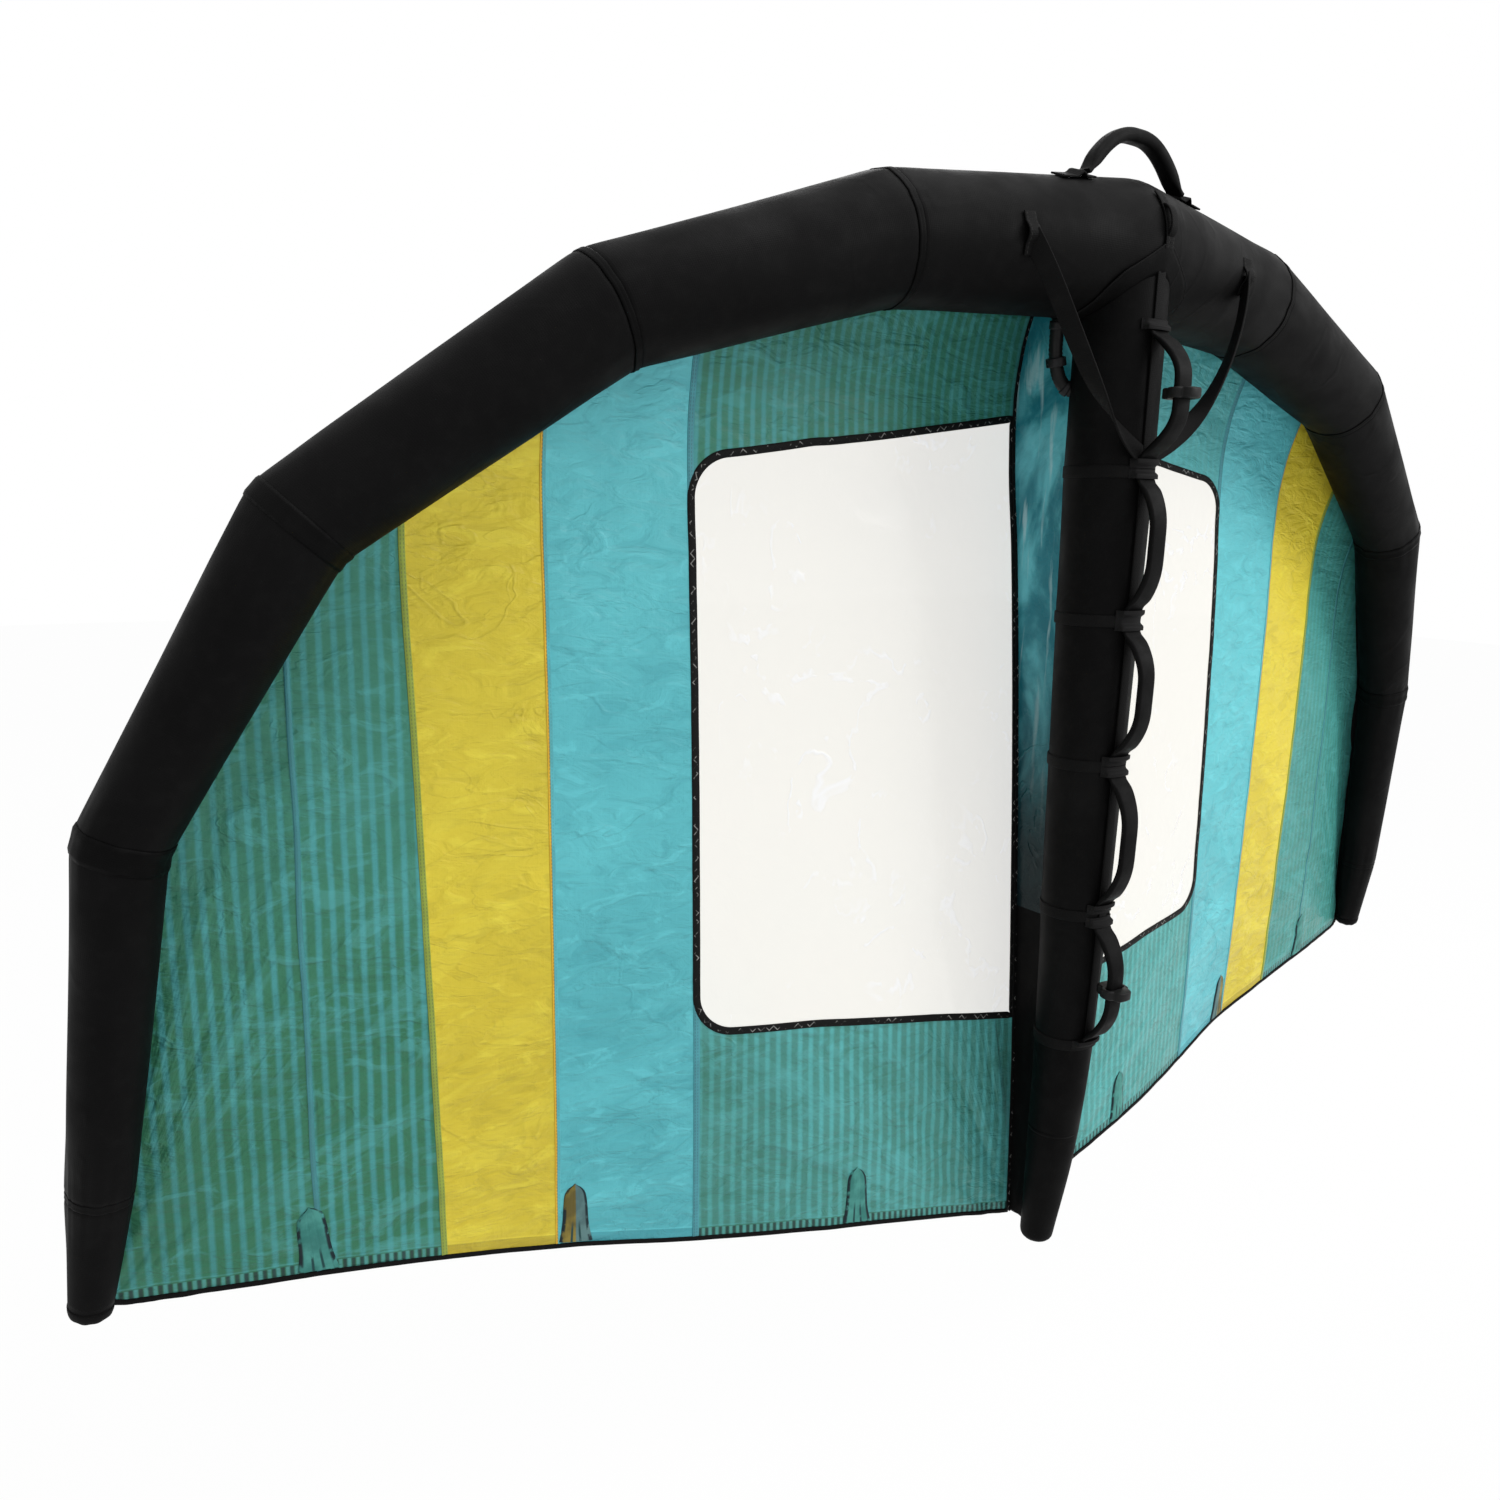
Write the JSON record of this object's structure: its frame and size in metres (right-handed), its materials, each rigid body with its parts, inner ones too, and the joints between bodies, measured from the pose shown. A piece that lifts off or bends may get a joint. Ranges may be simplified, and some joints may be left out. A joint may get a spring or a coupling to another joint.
{
  "type": "inflatable hand-held wing",
  "caption": "Inflatable hand-held sail wing: a curved air-tube leading edge, a central air-tube strut with grab handles, and a striped cloth canopy with clear windows.",
  "frame": {"origin": "under the middle of the front handle's arch, where a hand or a hook bears, on the plane between the two halves", "axes": "+X along the span towards the side that is on the right when the handles face the viewer, -Y towards the person who holds it, +Z from the trailing edge to the leading edge"},
  "size_m": [2.546, 0.4209, 1.5816],
  "materials": {
    "black_cloth": "matt woven polyester",
    "black_webbing": "ribbed webbing",
    "bladder_film": "clear film",
    "striped_cloth": "ripstop with fine green stripes",
    "teal_cloth": "ripstop",
    "yellow_cloth": "ripstop",
    "window_film": "clear film with fine creases",
    "pocket_cloth": "reinforced cloth",
    "ring_rubber": "matt",
    "hose_rubber": "satin",
    "clip_plastic": "satin",
    "valve_plastic": "satin"
  },
  "bodies": {
    "wing_body": {"batten_pocket_left_1": "pocket_cloth", "batten_pocket_left_2": "pocket_cloth", "batten_pocket_left_3": "pocket_cloth", "batten_pocket_right_1": "pocket_cloth", "batten_pocket_right_2": "pocket_cloth", "batten_pocket_right_3": "pocket_cloth", "brace_strap_left": "black_webbing", "brace_strap_right": "black_webbing", "canopy_band_left": "yellow_cloth", "canopy_band_right": "yellow_cloth", "canopy_lower_left": "striped_cloth", "canopy_lower_right": "striped_cloth", "canopy_middle_left": "teal_cloth", "canopy_middle_right": "teal_cloth", "canopy_outer_left": "striped_cloth", "canopy_outer_right": "striped_cloth", "canopy_upper_left": "striped_cloth", "canopy_upper_right": "striped_cloth", "canopy_window_left": "window_film", "canopy_window_right": "window_film", "inflate_valve": "valve_plastic", "inflation_hose": "hose_rubber", "le_bladder": "bladder_film", "le_skin_left_1": "black_cloth", "le_skin_left_2": "black_cloth", "le_skin_left_3": "black_cloth", "le_skin_left_4": "black_cloth", "le_skin_left_5": "black_cloth", "le_skin_left_6": "black_cloth", "le_skin_right_1": "black_cloth", "le_skin_right_2": "black_cloth", "le_skin_right_3": "black_cloth", "le_skin_right_4": "black_cloth", "le_skin_right_5": "black_cloth", "le_skin_right_6": "black_cloth", "le_tip_cap_left": "black_cloth", "le_tip_cap_right": "black_cloth", "leash_loop": "black_webbing", "strut_band_1": "black_webbing", "strut_band_2": "black_webbing", "strut_band_3": "black_webbing", "strut_band_4": "black_webbing", "strut_band_5": "black_webbing", "strut_bladder": "bladder_film", "strut_skin": "black_cloth", "strut_spine": "black_webbing", "strut_tail": "black_cloth", "strut_web": "teal_cloth", "te_cord_left": "black_webbing", "te_cord_right": "black_webbing"},
    "handle_1_body": {"handle_1": "black_webbing"},
    "handle_2_body": {"handle_2": "black_webbing"},
    "handle_3_body": {"handle_3": "black_webbing"},
    "handle_4_body": {"handle_4": "black_webbing"},
    "handle_5_body": {"handle_5": "black_webbing"},
    "front_handle_body": {"front_handle": "black_webbing"},
    "ring_front_body": {"harness_ring_front": "ring_rubber"},
    "ring_rear_body": {"harness_ring_rear": "ring_rubber"},
    "hose_clip_body": {"hose_clip": "clip_plastic"},
    "valve_cap_body": {"valve_cap": "valve_plastic"}
  },
  "joints": [
    {"name": "handle_1_swing", "type": "hinge", "parent": "wing_body", "child": "handle_1_body", "pos_m": [0, -0.06557, -0.31094], "axis": [0, 0.003, -1], "range_deg": [-40, 40], "stiffness_Nm_per_rad": 0.05},
    {"name": "handle_2_swing", "type": "hinge", "parent": "wing_body", "child": "handle_2_body", "pos_m": [0, -0.06417, -0.501], "axis": [0, 0.0118, -0.9999], "range_deg": [-40, 40], "stiffness_Nm_per_rad": 0.05},
    {"name": "handle_3_swing", "type": "hinge", "parent": "wing_body", "child": "handle_3_body", "pos_m": [0, -0.06115, -0.69937], "axis": [0, 0.0188, -0.9998], "range_deg": [-40, 40], "stiffness_Nm_per_rad": 0.05},
    {"name": "handle_4_swing", "type": "hinge", "parent": "wing_body", "child": "handle_4_body", "pos_m": [0, -0.05715, -0.90572], "axis": [0, 0.0199, -0.9998], "range_deg": [-40, 40], "stiffness_Nm_per_rad": 0.05},
    {"name": "handle_5_swing", "type": "hinge", "parent": "wing_body", "child": "handle_5_body", "pos_m": [0, -0.05162, -1.11786], "axis": [0, 0.0327, -0.9995], "range_deg": [-40, 40], "stiffness_Nm_per_rad": 0.05},
    {"name": "front_handle_swing", "type": "hinge", "parent": "wing_body", "child": "front_handle_body", "pos_m": [0, 0, -0.0435], "axis": [1, 0, 0], "range_deg": [-50, 50], "stiffness_Nm_per_rad": 0.5},
    {"name": "harness_ring_front_slide", "type": "slide", "parent": "handle_1_body", "child": "ring_front_body", "axis": [0, 0.003, -1], "range_m": [-0.009, 0.009]},
    {"name": "harness_ring_rear_slide", "type": "slide", "parent": "handle_5_body", "child": "ring_rear_body", "axis": [0, 0.0327, -0.9995], "range_m": [-0.009, 0.009]},
    {"name": "hose_clip_slide", "type": "slide", "parent": "wing_body", "child": "hose_clip_body", "axis": [0.2296, -0.0034, -0.9733], "range_m": [-0.002, 0.002]},
    {"name": "valve_cap_hinge", "type": "hinge", "parent": "wing_body", "child": "valve_cap_body", "pos_m": [0.12783, 0.08972, -0.20929], "axis": [-0.0795, 0.8231, 0.5623], "range_deg": [0, 110]}
  ]
}
